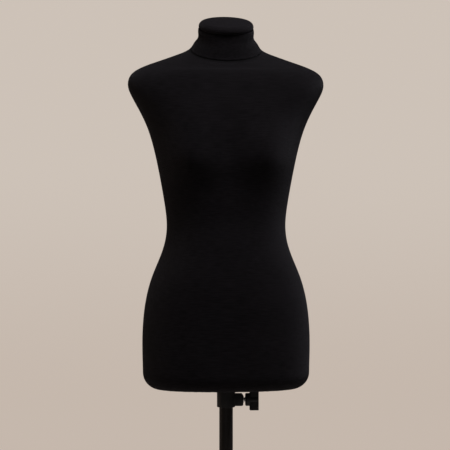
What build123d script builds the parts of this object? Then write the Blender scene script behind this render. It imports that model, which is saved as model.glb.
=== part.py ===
from build123d import *
import math
import os

import numpy as np

# Dress form mannequin on a height-adjustable folding tripod stand, in millimetres.
# The origin is on the floor under the column's axis. +Z is up, the form faces -Y, and the
# clamp's knob is on +X. The stand is at its lowest setting with the tripod open.

# ---- fits and clearances
RUN = 0.05  # radial gap of a running or seated fit
GAP = 0.4  # side gap between folding pieces
PAST = 1.0  # how far a cut runs past the face it opens

# ---- torso: the outer face of the jersey
BASE_Z = 660.0  # height of the torso's lower face above the floor
JERSEY = 1.0
SKIN_GAP = 0.5  # between the jersey and the shell
SHELL = 3.0
EDGE_ROUND = 30.0  # rounding of the lower edge
HEM_WIDTH = 25.0  # how far the jersey is turned in under the base
ELASTIC_WIDTH = 6.0
ELASTIC = 0.4
ELASTIC_EDGE = 1.0  # from the hem's inner edge to the elastic

# ---- torso: base board and socket
BOARD = 12.0
BOARD_GAP = 0.3
PLATE_R = 35.0
PLATE = 2.5
SOCKET_DEPTH = 95.0
SOCKET_WALL = 1.85
SOCKET_END = 3.0
PLATE_SCREW_PCR = 26.0
SCREW_R = 2.0
SCREW_HEAD_R = 3.6
SCREW_HEAD = 1.6

# ---- neck cap
CAP_R = 51.4
CAP_UNDER = 4.5  # radius of the rim's rounding below
CAP_OVER = 9.5  # the same above
CAP_DOME = 3.0
CAP_SPIGOT = 14.0
CAP_GAP = 1.0  # round the spigot

# ---- column and mast
COLUMN_R = 12.7
COLUMN_WALL = 1.2
COLUMN_DROP = 28.4  # its lower end below the hub's pivots
END_CAP = 3.0
END_SPIGOT = 8.0
MAST_GAP = 0.4  # between the mast and the column's inside
MAST_WALL = 1.2
MAST_LOW = 240.0
BUSH_LENGTH = 14.0
PLUG_HEAD = 2.0
SPIGOT = 14.0

# ---- clamp and its screw
CLAMP_WALL = 4.3
CLAMP_ROUND = 1.0
CLAMP_BELOW = 13.5  # the clamp's lower end below its screw's axis
CLAMP_HIGH = -3.4  # from the torso's lower face
CLAMP_STEP = 7.0  # depth of the bore above the column's end
BOSS_OUT = 19.0  # from the column's outside to the boss's end
BOSS_HEIGHT = 22.0
BOSS_WIDTH = 20.0
BOSS_CHAMFER = 2.0
BOLT_R = 4.0
INSERT_R = 6.5
INSERT_LENGTH = 9.0
SHOE_STEP = 0.4  # the shoe's radius over the screw's
SHOE_LENGTH = 6.0
WASHER = 1.2
CLAMP_PIN_R = 1.5
KNOB_OUT = 4.6  # from the boss's end to the knob
KNOB_DROP = 1.5  # of the clamp's knob below the torso's lower face
KNOB_HUB_R = 12.0
KNOB_HUB = 8.0
KNOB_WING = 16.6
KNOB_SPAN = 20.0
KNOB_THICK = 10.0
KNOB_ROUND = 1.2
KNOB_CHAMFER = 1.0
KNOB_CORE_R = 6.5
KNOB_CORE_SHORT = 1.5

# ---- tripod
LEG_WIDTH = 14.0
LEG_WALL = 1.2
LEG_ROUND = 2.0
LEG_PLUG = 10.0  # how far below its pivot the tube is solid
LEG_LENGTH = 360.0  # from its pivot to the tube's lower end
LEG_END_Z = 11.0  # height of the tube's lower end above the floor, on its axis
OPEN_ANGLE = 55.0  # of a leg from the vertical, open
FOLD_ANGLE = 5.0  # the same, folded
BRACE_LENGTH = 150.0  # between its pivots, and from the leg's pivot to the brace's
PIVOT_GAP = 1.5  # between the collar and a leg's rounded end
PIN_R = 3.0
PIN_HEAD_R = 5.0
PIN_HEAD = 2.0
STRIP = 2.5
EAR = 4.0
EAR_ROUND = 9.0
HUB_WALL = 3.8
HUB_SKIRT = 2.0  # of the hub below its lugs
HUB_CROWN = 3.0  # and above them
HUB_ROUND = 1.5
LUG_ROUND = 5.0
RIVET_R = 2.0
RIVET_HEAD = 1.8
RIVET_DROP = 14.0  # below the hub's pivots
COLLAR_WALL = 4.8
COLLAR_SKIRT = 4.0  # of the collar below its forks
COLLAR_CROWN = 2.0  # and above its boss
LOCK_ABOVE = 5.0  # from the forks to the boss
SLOT_WALL = 4.0
SLOT_SPARE = 0.3
FOOT_WALL = 3.0
FOOT_REACH = 26.0
FOOT_ROUND = 4.0
LEG_AZIMUTHS = {"back": 90.0, "front_left": 210.0, "front_right": 330.0}
LOCK_AZIMUTH = 30.0
RIVET_AZIMUTH = 270.0

# ---- worked-out sizes and places
MAST_R = COLUMN_R - COLUMN_WALL - MAST_GAP
SOCKET_R = MAST_R + RUN
CLAMP_R = COLUMN_R + CLAMP_WALL
HUB_R = COLUMN_R + HUB_WALL
COLLAR_R = COLUMN_R + COLLAR_WALL
BOSS_REACH = COLUMN_R + BOSS_OUT
KNOB_START = BOSS_REACH + KNOB_OUT
SHOE_R = BOLT_R + SHOE_STEP
WASHER_R = INSERT_R  # it bears on the insert's whole face
PIVOT_R = COLLAR_R + PIVOT_GAP + LEG_WIDTH / 2  # every hub and collar pivot, from the axis
BOLT_DROP = KNOB_SPAN + KNOB_DROP  # the screw's axis below the torso's lower face
CLAMP_LOW = -BOLT_DROP - CLAMP_BELOW
LEG_PIVOT_Z = LEG_END_Z + LEG_LENGTH * math.cos(math.radians(OPEN_ANGLE))
HUB_PIVOT_Z = LEG_PIVOT_Z - 2 * BRACE_LENGTH * math.cos(math.radians(OPEN_ANGLE))
FOLD_COSINE, OPEN_COSINE = math.cos(math.radians(FOLD_ANGLE)), math.cos(math.radians(OPEN_ANGLE))
COLUMN_LOW = HUB_PIVOT_Z - COLUMN_DROP
TRAVEL = 2 * BRACE_LENGTH * (FOLD_COSINE - OPEN_COSINE)
BOLT_Z = BASE_Z - BOLT_DROP
COLUMN_HIGH = BASE_Z + CLAMP_HIGH - CLAMP_STEP
BOARD_LOW = BASE_Z + JERSEY + SKIN_GAP
LOCK_RISE = EAR_ROUND + LOCK_ABOVE + BOSS_HEIGHT / 2  # locking screw's axis above the legs' pivots
RIVET_Z = HUB_PIVOT_Z - RIVET_DROP

# Torso sections from the base up: height above the base, half width, reach to the front,
# reach to the back, squareness (2 is an ellipse), centre towards the back, forward tilt.
COLLAR_SEAM = (633, 66.2, 57.5, 55, 2.00, 8, 27)
NECK_TOP = (671.5, 50.2, 47.2, 50.5, 2.00, 1, 20)
SECTIONS = [
    (0, 154.8, 97, 104, 2.30, 0, 0),
    (40, 155.6, 98, 111, 2.30, 0, 0),
    (80, 156.4, 98.5, 115, 2.30, 0, 0),
    (125, 154.9, 98.5, 116, 2.30, 0, 0),
    (170, 148.9, 97, 110, 2.30, 0, 0),
    (210, 137.8, 94, 99, 2.25, 0, 0),
    (247, 122.8, 89, 88, 2.20, 0, 0),
    (275, 114.0, 86, 82, 2.20, 0, 0),
    (303, 110.9, 84, 80, 2.20, 0, 0),
    (340, 114.2, 86, 82, 2.20, 0, 0),
    (378, 120.6, 90, 86, 2.25, 0, 0),
    (415, 127.7, 94, 91, 2.30, 0, 0),
    (452, 136.2, 94, 95, 2.30, 0, 0),
    (490, 148.4, 93, 96, 2.35, 0, 0),
    (527, 166.4, 90, 91, 2.50, 3, 0),
    (546, 176.6, 87, 87, 2.60, 5, 1),
    (565, 183.2, 83, 83, 2.60, 7, 2),
    (583, 179.3, 78, 77, 2.50, 8, 4),
    (597, 162.0, 73, 70, 2.35, 8, 8),
    (608, 131.5, 69, 65, 2.20, 8, 14),
    (618, 97.3, 65, 61, 2.10, 8, 20),
    (626, 75.5, 61, 58, 2.05, 8, 24),
    COLLAR_SEAM,
    (642, 60.8, 54, 53, 2.00, 6, 26),
    (652, 53.4, 51, 52, 2.00, 4, 24),
    (662, 50.8, 48.5, 51, 2.00, 2.5, 22),
    NECK_TOP,
]
# Soft swellings of the surface: half of their spacing, height, half width, height above the
# middle, height below it, how far they stand out, and 1 to the back or -1 to the front.
SWELLINGS = [
    (72, 430, 48, 62, 44, 25, -1),  # bust
    (66, 112, 52, 60, 60, 12, 1),  # seat
    (74, 500, 44, 55, 60, 7, 1),  # shoulder blades
    (0, 205, 80, 70, 80, 5, -1),  # belly
]
CHEST_LOW, CHEST_HIGH = 370, 530  # the bust needs sections between the given ones
SWELL_FADE = 1.6  # how soon a swelling dies out towards the sides
RIM_SHARES = (0, 0.1, 0.3, 0.62, 1.0, 1.55)  # heights of added sections, over the rounding
POINTS = 40  # of each section's outline


def smooth(known, values, at):
    """A natural cubic spline through the known values, read at the places given."""
    known, values = np.asarray(known, float), np.asarray(values, float)
    step = np.diff(known)
    slope = np.diff(values) / step
    matrix = np.eye(len(known))
    right = np.zeros(len(known))
    right[1:-1] = 6 * np.diff(slope)
    for i in range(1, len(known) - 1):
        matrix[i, i - 1 : i + 2] = step[i - 1], 2 * (step[i - 1] + step[i]), step[i]
    bend = np.linalg.solve(matrix, right)
    i = np.clip(np.searchsorted(known, at) - 1, 0, len(step) - 1)
    h, low, high = step[i], known[i + 1] - at, at - known[i]
    return (
        (bend[i] * low**3 + bend[i + 1] * high**3) / (6 * h)
        + (values[i] / h - bend[i] * h / 6) * low
        + (values[i + 1] / h - bend[i + 1] * h / 6) * high
    )


def section_points(section, inset):
    """Points of one section, turned in by inset."""
    height, width, front, back, square, centre, tilt = section
    turn = np.linspace(0, 2 * math.pi, POINTS, endpoint=False) + math.pi / 2
    c, s = np.cos(turn), np.sin(turn)
    edge = EDGE_ROUND - math.sqrt(max(EDGE_ROUND**2 - max(EDGE_ROUND - height, 0) ** 2, 0))
    inward = inset + edge
    x = (width - inward) * np.sign(c) * np.abs(c) ** (2 / square)
    reach = np.where(s > 0, back, front) - inward
    y = reach * np.sign(s) * np.abs(s) ** (2 / square)
    for apart, middle, wide, above, below, out, side in SWELLINGS:
        tall = above if height > middle else below
        swell = np.exp(-(((np.abs(x) - apart) / wide) ** 2) - ((height - middle) / tall) ** 2)
        y = y + side * out * swell * np.clip(side * s * SWELL_FADE, 0, 1)
    lean = math.radians(tilt)
    z = height + y * math.sin(lean)
    return x, centre + y * math.cos(lean), z


def torso_loft(inset, sections, lift=0.0):
    """Closed solid through the sections, with the lowest one raised by lift."""
    parameters = [i / POINTS for i in range(POINTS + 1)]
    wires = []
    for section in sections:
        x, y, z = section_points(section, inset)
        if section is sections[0]:
            z = z + lift
        points = [Vector(*p) for p in zip(x, y, z + BASE_Z)]
        wires.append(Wire([Edge.make_spline(points, periodic=True, parameters=parameters)]))
    return Solid.make_loft(wires)


def rim_sections():
    """Sections of the rounded lower edge and the torso above it."""
    table = np.array(SECTIONS, float)
    rounding = [EDGE_ROUND * share for share in RIM_SHARES]
    known = [row for row in SECTIONS if row[0] > 2 * EDGE_ROUND]
    chest = [row[0] for row in SECTIONS if CHEST_LOW < row[0] < CHEST_HIGH]
    between = [(low + high) / 2 for low, high in zip(chest, chest[1:])]
    added = np.array(rounding + between)
    columns = [added] + [smooth(table[:, 0], table[:, k], added) for k in range(1, 7)]
    return sorted([tuple(row) for row in zip(*columns)] + known, key=lambda row: row[0])


def cylinder(radius, low, high, place=(0, 0)):
    """Upright cylinder between two heights."""
    return Pos(place[0], place[1], (low + high) / 2) * Cylinder(radius, high - low)


def ring(outer, inner, low, high):
    """Upright tube between two heights."""
    return cylinder(outer, low, high) - cylinder(inner, low - PAST, high + PAST)


def along_x(radius, start, end, z):
    """Cylinder along +X at a height."""
    return Pos((start + end) / 2, 0, z) * Rot(0, 90, 0) * Cylinder(radius, end - start)


def save(name, shape):
    solids = list(shape.solids())
    export_step(solids[0] if len(solids) == 1 else Compound(children=solids), f"parts/{name}.step")


# ---------------------------------------------------------------- torso
def half_space(above):
    """Everything above or below the collar seam's tilted plane."""
    size = 800.0
    height, *_, centre, tilt = COLLAR_SEAM
    side = Pos(0, 0, size / 2 if above else -size / 2) * Box(size, size, size)
    return Pos(0, centre, BASE_Z + height) * Rot(tilt, 0, 0) * side


def outline_plate(inset, low, high):
    """Flat plate with the base's outline turned in by inset."""
    x, y, _ = section_points(SECTIONS[0], inset)
    parameters = [i / POINTS for i in range(POINTS + 1)]
    points = [Vector(a, b, low) for a, b in zip(x, y)]
    edge = Edge.make_spline(points, periodic=True, parameters=parameters)
    return extrude(Face(Wire([edge])), high - low, dir=(0, 0, 1))


def torso_pieces():
    """Shell, the two jersey covers, and the base board's outline."""
    sections = rim_sections()
    outside = torso_loft(0, sections)
    under_jersey = torso_loft(JERSEY, sections, JERSEY)
    shell_out = torso_loft(JERSEY + SKIN_GAP, sections, JERSEY + SKIN_GAP)
    shell_in = torso_loft(JERSEY + SKIN_GAP + SHELL, sections, -PAST)
    hem_opening = outline_plate(HEM_WIDTH, BASE_Z - PAST, BASE_Z + JERSEY + SKIN_GAP / 2)
    cover = outside - under_jersey - hem_opening
    shell = shell_out - shell_in
    return {
        "torso_shell": shell,
        "body_cover": cover & half_space(False),
        "neck_cover": cover & half_space(True),
    }


def neck_cap():
    """Domed cap with a rolled rim and a spigot that sits in the shell's neck."""
    height, _, front, *_, centre, tilt = NECK_TOP
    spigot_r = front - JERSEY - SKIN_GAP - SHELL - CAP_GAP
    widest = RUN + CAP_UNDER
    top = widest + CAP_OVER
    face_r = CAP_R - CAP_OVER
    round_r = (face_r**2 + CAP_DOME**2) / (2 * CAP_DOME)
    halfway = top + CAP_DOME - round_r + math.sqrt(round_r**2 - face_r**2 / 4)
    start = (0, -CAP_SPIGOT)
    with BuildSketch(Plane.XZ) as profile:
        with BuildLine():
            Polyline(start, (spigot_r, -CAP_SPIGOT), (spigot_r, RUN), (CAP_R - CAP_UNDER, RUN))
            RadiusArc((CAP_R - CAP_UNDER, RUN), (CAP_R, widest), -CAP_UNDER)
            RadiusArc((CAP_R, widest), (face_r, top), -CAP_OVER)
            ThreePointArc((face_r, top), (face_r / 2, halfway), (0, top + CAP_DOME))
            Line((0, top + CAP_DOME), start)
        make_face()
    cap = revolve(profile.sketch, Axis.Z)
    return Pos(0, centre, BASE_Z + height) * Rot(tilt, 0, 0) * cap


def hem_elastic():
    """Elastic band in the hem, lying on the base board."""
    low = BASE_Z + JERSEY + RUN
    band = outline_plate(HEM_WIDTH - ELASTIC_EDGE - ELASTIC_WIDTH, low, low + ELASTIC)
    return band - outline_plate(HEM_WIDTH - ELASTIC_EDGE, low - PAST, low + PAST)


def base_board():
    inset = JERSEY + SKIN_GAP + SHELL + BOARD_GAP
    board = outline_plate(inset, BOARD_LOW, BOARD_LOW + BOARD)
    return board - cylinder(SOCKET_R + SOCKET_WALL + RUN, BASE_Z - PAST, BOARD_LOW + BOARD + PAST)


def socket_flange():
    high = BOARD_LOW
    return ring(PLATE_R, SOCKET_R + SOCKET_WALL + RUN, high - PLATE, high) - screw_holes(high)


def screw_holes(high):
    low = high - PLATE - PAST
    holes = [cylinder(SCREW_R + RUN, low, high + PAST, screw_place(k)) for k in range(4)]
    return Compound(children=holes)


def screw_place(k):
    turn = math.radians(45 + 90 * k)
    return PLATE_SCREW_PCR * math.cos(turn), PLATE_SCREW_PCR * math.sin(turn)


def flange_screws():
    """Four pan-head screws, their heads under the plate."""
    low = BOARD_LOW - PLATE
    screws = []
    for k in range(4):
        shank = cylinder(SCREW_R, low, low + PLATE, screw_place(k))
        screws.append(shank + cylinder(SCREW_HEAD_R, low - SCREW_HEAD, low, screw_place(k)))
    return Compound(children=screws)


def socket_tube():
    """Blind tube that stands through the board. The torso's weight rests on its closed end."""
    top = BASE_Z + SOCKET_DEPTH
    tube = ring(SOCKET_R + SOCKET_WALL, SOCKET_R, BOARD_LOW - PLATE, top)
    return tube + cylinder(SOCKET_R + SOCKET_WALL, top, top + SOCKET_END)


# ---------------------------------------------------------------- mast
def mast_pieces():
    top = BASE_Z + SOCKET_DEPTH - RUN
    inner = MAST_R - MAST_WALL - RUN
    tube = ring(MAST_R, MAST_R - MAST_WALL, MAST_LOW + BUSH_LENGTH, top - PLUG_HEAD)
    plug = cylinder(MAST_R, top - PLUG_HEAD, top)
    plug = plug + cylinder(inner, top - PLUG_HEAD - SPIGOT, top - PLUG_HEAD)
    bush = cylinder(COLUMN_R - COLUMN_WALL - RUN, MAST_LOW, MAST_LOW + BUSH_LENGTH)
    bush = bush + cylinder(inner, MAST_LOW + BUSH_LENGTH, MAST_LOW + BUSH_LENGTH + SPIGOT)
    return {"mast_tube": tube, "mast_top_plug": plug, "mast_bush": bush}


# ---------------------------------------------------------------- screw clamp
def boss(z, bore):
    """Chamfered block on +X that holds a clamp screw."""
    block = Pos(BOSS_REACH / 2, 0, z) * Box(BOSS_REACH, BOSS_WIDTH, BOSS_HEIGHT)
    outer = block.faces().sort_by(Axis.X)[-1].edges()
    block = chamfer(outer, BOSS_CHAMFER)
    return block - cylinder(bore, z - BOSS_HEIGHT, z + BOSS_HEIGHT)


def boss_bores(z):
    """Pocket for the insert and the way in for the shoe."""
    pocket = along_x(INSERT_R + RUN, BOSS_REACH - INSERT_LENGTH, BOSS_REACH + PAST, z)
    return pocket + along_x(SHOE_R + RUN, MAST_R, BOSS_REACH, z)


def screw_pieces(prefix, z, bore):
    """Insert, shoe, screw, washer and knob of a clamp screw on +X at a height."""
    bolt_end = KNOB_START + KNOB_HUB
    bolt_bore = along_x(BOLT_R + RUN, 0, bolt_end, z)
    insert = along_x(INSERT_R, BOSS_REACH - INSERT_LENGTH, BOSS_REACH, z)
    shoe = along_x(SHOE_R, bore, bore + SHOE_LENGTH, z)
    washer_x = BOSS_REACH + RUN
    washer = along_x(WASHER_R, washer_x, washer_x + WASHER, z)
    return {
        f"{prefix}_insert": insert - bolt_bore,
        f"{prefix}_shoe": shoe - cylinder(bore, z - 2 * SHOE_R, z + 2 * SHOE_R),
        f"{prefix}_bolt": along_x(BOLT_R, bore + SHOE_LENGTH, bolt_end, z),
        f"{prefix}_washer": washer - bolt_bore,
        f"{prefix}_knob": wing_knob(z) - bolt_bore,
    }


def wing_knob(z):
    """Round hub with a flat square grip that stands upright."""
    start = KNOB_START + KNOB_HUB
    end = start + KNOB_WING
    hub = along_x(KNOB_HUB_R, KNOB_START, start, z)
    hub = chamfer(hub.faces().sort_by(Axis.X)[0].edges(), KNOB_CHAMFER)
    core = along_x(KNOB_CORE_R, start, end - KNOB_CORE_SHORT, z)
    wing = Pos((start + end) / 2, 0, z) * Box(KNOB_WING, KNOB_THICK, 2 * KNOB_SPAN)
    wing = fillet(wing.edges().filter_by(Axis.Y), KNOB_ROUND)
    return hub + wing + core


def clamp_pieces():
    top, low = BASE_Z + CLAMP_HIGH, BASE_Z + CLAMP_LOW
    body = cylinder(CLAMP_R, low, top)
    body = fillet(body.edges().filter_by(GeomType.CIRCLE), CLAMP_ROUND) + boss(BOLT_Z, MAST_R)
    body = body - cylinder(COLUMN_R + RUN, low - PAST, COLUMN_HIGH)
    body = body - cylinder(MAST_R + RUN, low, top + PAST)
    body = body - boss_bores(BOLT_Z) - clamp_pin_bore()
    return {"clamp_body": body, "clamp_pin": clamp_pin()}


def clamp_pin():
    """Short pin through the clamp's back wall and the column's wall."""
    return along_x(CLAMP_PIN_R, -CLAMP_R, -COLUMN_R + COLUMN_WALL, BOLT_Z)


def clamp_pin_bore():
    inner = -COLUMN_R + COLUMN_WALL
    return along_x(CLAMP_PIN_R + RUN, -CLAMP_R - PAST, inner + PAST, BOLT_Z)


# ---------------------------------------------------------------- column
def column_pieces():
    tube = ring(COLUMN_R, COLUMN_R - COLUMN_WALL, COLUMN_LOW, COLUMN_HIGH)
    tube = tube - along_x(SHOE_R + 3 * RUN, 0, COLUMN_R + PAST, BOLT_Z) - clamp_pin_bore()
    tube = tube - rivet_bore()
    cap = cylinder(COLUMN_R, COLUMN_LOW - END_CAP, COLUMN_LOW)
    cap = cap + cylinder(COLUMN_R - COLUMN_WALL - RUN, COLUMN_LOW, COLUMN_LOW + END_SPIGOT)
    return {"column_tube": tube, "tube_end_cap": cap}


def lower_hub():
    """Fixed hub with one slotted lug for each pair of brace strips."""
    sag = slot_length()
    lug_low = HUB_PIVOT_Z - sag - PIN_R - GAP - SLOT_WALL
    lug_high = HUB_PIVOT_Z + PIN_R + GAP + SLOT_WALL
    outer = PIVOT_R + PIN_R + GAP + SLOT_WALL
    hub = cylinder(HUB_R, lug_low - HUB_SKIRT, lug_high + HUB_CROWN)
    hub = fillet(hub.edges().filter_by(GeomType.CIRCLE), HUB_ROUND)
    for azimuth in LEG_AZIMUTHS.values():
        middle = (lug_low + lug_high) / 2
        lug = Pos(outer / 2, 0, middle) * Box(outer, LEG_WIDTH, lug_high - lug_low)
        lug = fillet(lug.faces().sort_by(Axis.X)[-1].edges().filter_by(Axis.Y), LUG_ROUND)
        across = LEG_WIDTH + 2 * PAST
        slot = pivot_pin(PIN_R + GAP, across, HUB_PIVOT_Z)
        slot = slot + pivot_pin(PIN_R + GAP, across, HUB_PIVOT_Z - sag)
        straight = Box(2 * (PIN_R + GAP), across, sag)
        slot = slot + Pos(PIVOT_R, 0, HUB_PIVOT_Z - sag / 2) * straight
        hub = hub + Rot(0, 0, azimuth) * (lug - slot)
    hub = hub - cylinder(COLUMN_R + RUN, 0, lug_high + HUB_CROWN + PAST)
    return hub - rivet_bore()


def slot_length():
    """How far a brace's lower pin drops in its slot while the tripod folds evenly."""
    share = np.linspace(0, 1, 201)
    angle = np.radians(OPEN_ANGLE + (FOLD_ANGLE - OPEN_ANGLE) * share)
    span = LEG_PIVOT_Z + TRAVEL * share - 2 * BRACE_LENGTH * np.cos(angle)
    return float(HUB_PIVOT_Z - span.min()) + SLOT_SPARE


def rivet_bore():
    inner = COLUMN_R - COLUMN_WALL
    bore = along_x(RIVET_R + RUN, inner - PAST, HUB_R + PAST, RIVET_Z)
    return Rot(0, 0, RIVET_AZIMUTH) * bore


def hub_rivet():
    """Blind rivet that holds the hub on the column."""
    rivet = along_x(RIVET_R, COLUMN_R - COLUMN_WALL, HUB_R, RIVET_Z)
    rivet = rivet + along_x(2 * RIVET_R, HUB_R, HUB_R + RIVET_HEAD, RIVET_Z)
    return Rot(0, 0, RIVET_AZIMUTH) * rivet


# ---------------------------------------------------------------- tripod
def pivot_pin(radius, length, z, r=PIVOT_R):
    """Cylinder across a leg's plane, centred on the plane."""
    return Pos(r, 0, z) * Rot(90, 0, 0) * Cylinder(radius, length)


def headed_pin(length, z, r=PIVOT_R):
    """Pivot pin with a flat head outside each side of what it holds."""
    pin = pivot_pin(PIN_R, length + 2 * PIN_HEAD, z, r)
    for side in (1, -1):
        head = Rot(90, 0, 0) * Cylinder(PIN_HEAD_R, PIN_HEAD)
        pin = pin + Pos(r, side * (length + PIN_HEAD) / 2, z) * head
    return pin


def ear_gap():
    return LEG_WIDTH / 2 + GAP


def leg_collar():
    """Sliding collar with a fork for each leg and a boss for its locking screw."""
    low = LEG_PIVOT_Z - EAR_ROUND - COLLAR_SKIRT
    high = LEG_PIVOT_Z + LOCK_RISE + BOSS_HEIGHT / 2 + COLLAR_CROWN
    collar = fillet(cylinder(COLLAR_R, low, high).edges().filter_by(GeomType.CIRCLE), HUB_ROUND)
    for azimuth in LEG_AZIMUTHS.values():
        for side in (1, -1):
            arm = Pos(PIVOT_R / 2, 0, LEG_PIVOT_Z) * Box(PIVOT_R, EAR, 2 * EAR_ROUND)
            arm = arm + pivot_pin(EAR_ROUND, EAR, LEG_PIVOT_Z)
            arm = arm - pivot_pin(PIN_R + RUN, EAR + 2 * PAST, LEG_PIVOT_Z)
            collar = collar + Rot(0, 0, azimuth) * Pos(0, side * (ear_gap() + EAR / 2), 0) * arm
    lock_z = LEG_PIVOT_Z + LOCK_RISE
    collar = collar + Rot(0, 0, LOCK_AZIMUTH) * boss(lock_z, COLUMN_R)
    collar = collar - Rot(0, 0, LOCK_AZIMUTH) * boss_bores(lock_z)
    return collar - cylinder(COLUMN_R + RUN, low - PAST, high + PAST)


def leg_pins():
    pin = headed_pin(2 * (ear_gap() + EAR), LEG_PIVOT_Z)
    return [Rot(0, 0, azimuth) * pin for azimuth in LEG_AZIMUTHS.values()]


def on_leg(shape):
    """Carry a piece drawn straight down from the pivot to the open leg's line."""
    return Pos(PIVOT_R, 0, LEG_PIVOT_Z) * Rot(0, -OPEN_ANGLE, 0) * shape


def leg():
    """Square tube, round at its pivot, with cross holes for both pins."""
    half = LEG_WIDTH / 2
    tube = Pos(0, 0, -LEG_LENGTH / 2) * Box(LEG_WIDTH, LEG_WIDTH, LEG_LENGTH)
    tube = fillet(tube.edges().filter_by(Axis.Z), LEG_ROUND)
    tube = tube + Rot(90, 0, 0) * Cylinder(half, LEG_WIDTH)
    inside = LEG_WIDTH - 2 * LEG_WALL
    tube = tube - Pos(0, 0, -LEG_LENGTH / 2 - LEG_PLUG) * Box(inside, inside, LEG_LENGTH)
    for reach in (0, BRACE_LENGTH):
        tube = tube - Pos(0, 0, -reach) * Rot(90, 0, 0) * Cylinder(PIN_R + RUN, LEG_WIDTH + 2 * PAST)
    return on_leg(tube)


def foot():
    """Rubber boot on the leg's end, cut flat where it stands on the floor."""
    wide = LEG_WIDTH + 2 * (FOOT_WALL + RUN)
    past = 2 * wide
    boot = Pos(0, 0, -LEG_LENGTH + (FOOT_REACH - past) / 2) * Box(wide, wide, FOOT_REACH + past)
    boot = fillet(boot.edges().filter_by(Axis.Z), FOOT_ROUND)
    inside = LEG_WIDTH + 2 * RUN
    hollow = Pos(0, 0, -LEG_LENGTH / 2) * Box(inside, inside, LEG_LENGTH)
    boot = on_leg(boot - hollow)
    length = PIVOT_R + LEG_LENGTH * math.sin(math.radians(OPEN_ANGLE)) + wide
    tall = 4 * wide
    return boot & Pos(length / 2, 0, tall / 2) * Box(length, tall, tall)


def mid_pivot():
    angle = math.radians(OPEN_ANGLE)
    return PIVOT_R + BRACE_LENGTH * math.sin(angle), LEG_PIVOT_Z - BRACE_LENGTH * math.cos(angle)


def brace():
    """Pair of flat strips that straddle the leg above and the hub's lug below."""
    r, z = mid_pivot()
    strips = []
    for side in (1, -1):
        strip = Pos(0, 0, -BRACE_LENGTH / 2) * Box(LEG_WIDTH, STRIP, BRACE_LENGTH)
        for reach in (0, BRACE_LENGTH):
            strip = strip + Pos(0, 0, -reach) * Rot(90, 0, 0) * Cylinder(LEG_WIDTH / 2, STRIP)
        for reach in (0, BRACE_LENGTH):
            hole = Rot(90, 0, 0) * Cylinder(PIN_R + RUN, STRIP + 2 * PAST)
            strip = strip - Pos(0, 0, -reach) * hole
        strip = Pos(0, side * (ear_gap() + STRIP / 2), 0) * strip
        strips.append(Pos(r, 0, z) * Rot(0, OPEN_ANGLE, 0) * strip)
    return Compound(children=strips)


def tripod_pieces():
    pieces = {}
    r, z = mid_pivot()
    held = 2 * (ear_gap() + STRIP + RUN)
    for name, azimuth in LEG_AZIMUTHS.items():
        pieces[f"leg_{name}"] = Rot(0, 0, azimuth) * leg()
        pieces[f"foot_{name}"] = Rot(0, 0, azimuth) * foot()
        pieces[f"brace_{name}"] = Rot(0, 0, azimuth) * brace()
        pieces[f"brace_pin_{name}"] = Rot(0, 0, azimuth) * headed_pin(held, z, r)
        pieces[f"slot_pin_{name}"] = Rot(0, 0, azimuth) * headed_pin(held, HUB_PIVOT_Z)
    return pieces


def build():
    os.makedirs("parts", exist_ok=True)
    pieces = torso_pieces()
    pieces["neck_cap"] = neck_cap()
    pieces["hem_elastic"] = hem_elastic()
    pieces["base_board"] = base_board()
    pieces["socket_flange"] = socket_flange()
    pieces["flange_screws"] = flange_screws()
    pieces["socket_tube"] = socket_tube()
    pieces.update(mast_pieces())
    pieces.update(clamp_pieces())
    pieces.update(column_pieces())
    pieces["lower_hub"] = lower_hub()
    pieces["hub_rivet"] = hub_rivet()
    pieces.update(screw_pieces("clamp", BOLT_Z, MAST_R + RUN))
    pieces["leg_collar"] = leg_collar()
    pieces["leg_pins"] = Compound(children=leg_pins())
    lock = screw_pieces("collar", LEG_PIVOT_Z + LOCK_RISE, COLUMN_R + RUN)
    pieces.update({name: Rot(0, 0, LOCK_AZIMUTH) * piece for name, piece in lock.items()})
    pieces.update(tripod_pieces())
    for name, piece in pieces.items():
        save(name, piece)


build()
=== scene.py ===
import math

import bmesh
import bpy
import numpy as np
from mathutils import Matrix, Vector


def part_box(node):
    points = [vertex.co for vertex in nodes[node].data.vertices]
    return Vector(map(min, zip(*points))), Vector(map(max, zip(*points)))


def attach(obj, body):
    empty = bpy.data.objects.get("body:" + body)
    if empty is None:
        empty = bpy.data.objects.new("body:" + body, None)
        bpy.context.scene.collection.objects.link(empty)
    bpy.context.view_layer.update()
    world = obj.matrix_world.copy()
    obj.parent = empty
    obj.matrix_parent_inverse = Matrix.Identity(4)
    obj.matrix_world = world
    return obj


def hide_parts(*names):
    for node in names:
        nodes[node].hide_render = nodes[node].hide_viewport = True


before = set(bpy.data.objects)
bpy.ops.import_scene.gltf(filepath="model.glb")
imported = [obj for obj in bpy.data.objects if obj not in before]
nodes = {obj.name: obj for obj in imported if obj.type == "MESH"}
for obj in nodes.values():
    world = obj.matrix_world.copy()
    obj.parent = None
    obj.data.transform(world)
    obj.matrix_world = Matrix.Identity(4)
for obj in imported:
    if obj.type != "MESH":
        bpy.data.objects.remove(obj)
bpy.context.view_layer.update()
mm = 0.001

# ------------------------------------------------------------------ column and mast
# Two steel tubes, black powder-coated, one sliding in the other. They are turned surfaces with
# the sharp cut ends broken by a small chamfer.


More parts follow.
